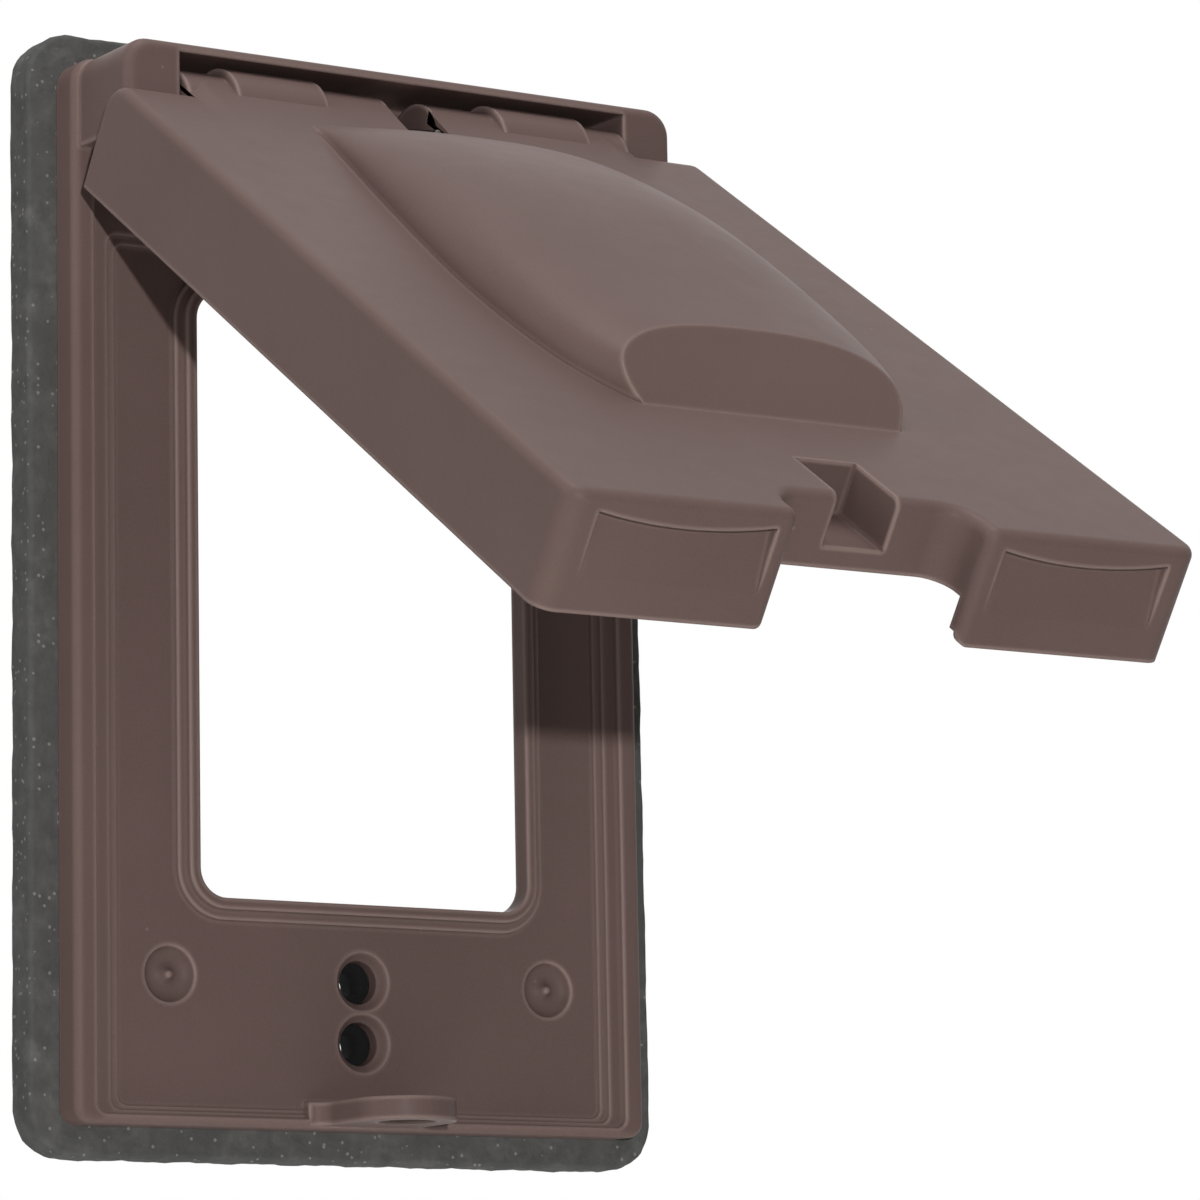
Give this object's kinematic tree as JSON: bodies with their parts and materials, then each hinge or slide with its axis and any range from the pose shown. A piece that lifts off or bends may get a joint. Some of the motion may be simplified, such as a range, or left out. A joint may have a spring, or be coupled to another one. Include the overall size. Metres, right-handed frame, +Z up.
{
  "type": "weatherproof outlet cover",
  "caption": "Weatherproof outlet cover with a hinged lid, a device opening, a padlock tab and a foam gasket, shown with the lid open.",
  "frame": {"origin": "at the centre of the plate's back: the middle of both screw patterns, in the plane where the plate meets its gasket", "axes": "+X to the right seen from the front, +Y into the wall, +Z up towards the hinge"},
  "size_m": [0.0788, 0.1084, 0.123],
  "materials": {
    "paint": "satin bronze paint",
    "steel": "plain",
    "foam": "closed-cell foam, mottled grey"
  },
  "bodies": {
    "plate": {"base_plate": "paint", "hinge_pin": "steel", "torsion_spring": "steel", "gasket": "foam"},
    "lid": {"lid": "paint"}
  },
  "joints": [
    {"name": "lid_hinge", "type": "hinge", "parent": "plate", "child": "lid", "pos_m": [0, -0.0109, 0.0499], "axis": [-1, 0, 0], "range_deg": [-56.3, 36], "deforming": ["torsion_spring"]}
  ]
}
